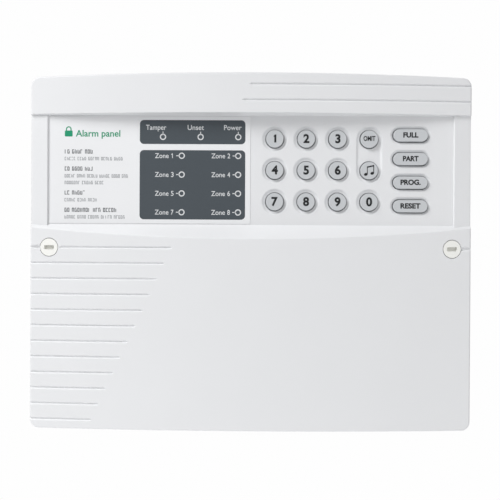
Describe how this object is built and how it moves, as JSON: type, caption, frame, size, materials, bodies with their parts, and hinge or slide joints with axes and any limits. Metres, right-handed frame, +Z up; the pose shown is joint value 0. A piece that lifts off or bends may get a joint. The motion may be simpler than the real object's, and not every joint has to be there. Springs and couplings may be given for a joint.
{
  "type": "alarm keypad panel",
  "caption": "Wall-mounted alarm control panel: bowed white cover with grooves, a recessed keypad with indicator windows, and a back box holding board, battery and transformer.",
  "frame": {"origin": "middle of the back face that lies on the wall", "axes": "+Z up, +X to the right seen from the front, the front faces -Y and +Y points into the wall"},
  "size_m": [0.28, 0.075, 0.2257],
  "materials": {
    "cover_shell": "fine spark texture, satin white",
    "base_shell": "fine spark texture, white",
    "label_film": "printed satin film",
    "key_cap": "matt blue-grey moulding",
    "mat_silicone": "smooth silicone",
    "board": "solder mask",
    "black_moulding": "fine matt",
    "plunger_red": "smooth",
    "terminal_green": "smooth",
    "core_steel": "varnished laminations",
    "coil_tape": "polyester tape",
    "battery_case": "fine matt",
    "wire_red": "smooth insulation",
    "wire_black": "smooth insulation",
    "screw_steel": "zinc plated",
    "led_red": "clear tinted epoxy",
    "led_green": "clear tinted epoxy"
  },
  "bodies": {
    "base": {"back_box": "base_shell", "keypad_mat": "mat_silicone", "main_pcb": "board", "processor": "black_moulding", "bell_relay": "black_moulding", "sounder": "black_moulding", "tamper_switch": "black_moulding", "zone_terminals": "terminal_green", "output_terminals": "terminal_green", "mains_terminals": "black_moulding", "fuse_holder": "black_moulding", "transformer_core": "core_steel", "transformer_coil": "coil_tape", "battery": "battery_case", "battery_lead_red": "wire_red", "battery_lead_black": "wire_black", "transformer_screw_1": "screw_steel", "transformer_screw_2": "screw_steel", "pcb_screw_1": "screw_steel", "pcb_screw_2": "screw_steel", "pcb_screw_3": "screw_steel", "pcb_screw_4": "screw_steel", "led_power": "led_green", "led_unset": "led_green", "led_tamper": "led_red", "led_zone_1": "led_red", "led_zone_2": "led_red", "led_zone_3": "led_red", "led_zone_4": "led_red", "led_zone_5": "led_red", "led_zone_6": "led_red", "led_zone_7": "led_red", "led_zone_8": "led_red"},
    "cover": {"front_cover": "cover_shell", "legend_label": "label_film", "screw_cap_left": "cover_shell", "screw_cap_right": "cover_shell", "cover_screw_left": "screw_steel", "cover_screw_right": "screw_steel"},
    "tamper_plunger": {"tamper_plunger": "plunger_red"},
    "key_1": {"key_1": "key_cap"},
    "key_2": {"key_2": "key_cap"},
    "key_3": {"key_3": "key_cap"},
    "key_omit": {"key_omit": "key_cap"},
    "key_4": {"key_4": "key_cap"},
    "key_5": {"key_5": "key_cap"},
    "key_6": {"key_6": "key_cap"},
    "key_chime": {"key_chime": "key_cap"},
    "key_7": {"key_7": "key_cap"},
    "key_8": {"key_8": "key_cap"},
    "key_9": {"key_9": "key_cap"},
    "key_0": {"key_0": "key_cap"},
    "key_full": {"key_full": "key_cap"},
    "key_part": {"key_part": "key_cap"},
    "key_program": {"key_program": "key_cap"},
    "key_reset": {"key_reset": "key_cap"}
  },
  "joints": [
    {"name": "cover_lift_off", "type": "slide", "parent": "base", "child": "cover", "axis": [0, -1, 0], "range_m": [0, 0.12]},
    {"name": "key_1_press", "type": "slide", "parent": "base", "child": "key_1", "axis": [0, 1, 0], "range_m": [0, 0.0012], "stiffness_N_per_m": 400, "springref_m": -0.001},
    {"name": "key_2_press", "type": "slide", "parent": "base", "child": "key_2", "axis": [0, 1, 0], "range_m": [0, 0.0012], "stiffness_N_per_m": 400, "springref_m": -0.001},
    {"name": "key_3_press", "type": "slide", "parent": "base", "child": "key_3", "axis": [0, 1, 0], "range_m": [0, 0.0012], "stiffness_N_per_m": 400, "springref_m": -0.001},
    {"name": "key_omit_press", "type": "slide", "parent": "base", "child": "key_omit", "axis": [0, 1, 0], "range_m": [0, 0.0012], "stiffness_N_per_m": 400, "springref_m": -0.001},
    {"name": "key_4_press", "type": "slide", "parent": "base", "child": "key_4", "axis": [0, 1, 0], "range_m": [0, 0.0012], "stiffness_N_per_m": 400, "springref_m": -0.001},
    {"name": "key_5_press", "type": "slide", "parent": "base", "child": "key_5", "axis": [0, 1, 0], "range_m": [0, 0.0012], "stiffness_N_per_m": 400, "springref_m": -0.001},
    {"name": "key_6_press", "type": "slide", "parent": "base", "child": "key_6", "axis": [0, 1, 0], "range_m": [0, 0.0012], "stiffness_N_per_m": 400, "springref_m": -0.001},
    {"name": "key_chime_press", "type": "slide", "parent": "base", "child": "key_chime", "axis": [0, 1, 0], "range_m": [0, 0.0012], "stiffness_N_per_m": 400, "springref_m": -0.001},
    {"name": "key_7_press", "type": "slide", "parent": "base", "child": "key_7", "axis": [0, 1, 0], "range_m": [0, 0.0012], "stiffness_N_per_m": 400, "springref_m": -0.001},
    {"name": "key_8_press", "type": "slide", "parent": "base", "child": "key_8", "axis": [0, 1, 0], "range_m": [0, 0.0012], "stiffness_N_per_m": 400, "springref_m": -0.001},
    {"name": "key_9_press", "type": "slide", "parent": "base", "child": "key_9", "axis": [0, 1, 0], "range_m": [0, 0.0012], "stiffness_N_per_m": 400, "springref_m": -0.001},
    {"name": "key_0_press", "type": "slide", "parent": "base", "child": "key_0", "axis": [0, 1, 0], "range_m": [0, 0.0012], "stiffness_N_per_m": 400, "springref_m": -0.001},
    {"name": "key_full_press", "type": "slide", "parent": "base", "child": "key_full", "axis": [0, 1, 0], "range_m": [0, 0.0012], "stiffness_N_per_m": 400, "springref_m": -0.001},
    {"name": "key_part_press", "type": "slide", "parent": "base", "child": "key_part", "axis": [0, 1, 0], "range_m": [0, 0.0012], "stiffness_N_per_m": 400, "springref_m": -0.001},
    {"name": "key_program_press", "type": "slide", "parent": "base", "child": "key_program", "axis": [0, 1, 0], "range_m": [0, 0.0012], "stiffness_N_per_m": 400, "springref_m": -0.001},
    {"name": "key_reset_press", "type": "slide", "parent": "base", "child": "key_reset", "axis": [0, 1, 0], "range_m": [0, 0.0012], "stiffness_N_per_m": 400, "springref_m": -0.001},
    {"name": "tamper_press", "type": "slide", "parent": "base", "child": "tamper_plunger", "axis": [0, 1, 0], "range_m": [0, 0.001], "stiffness_N_per_m": 300, "springref_m": -0.001}
  ]
}
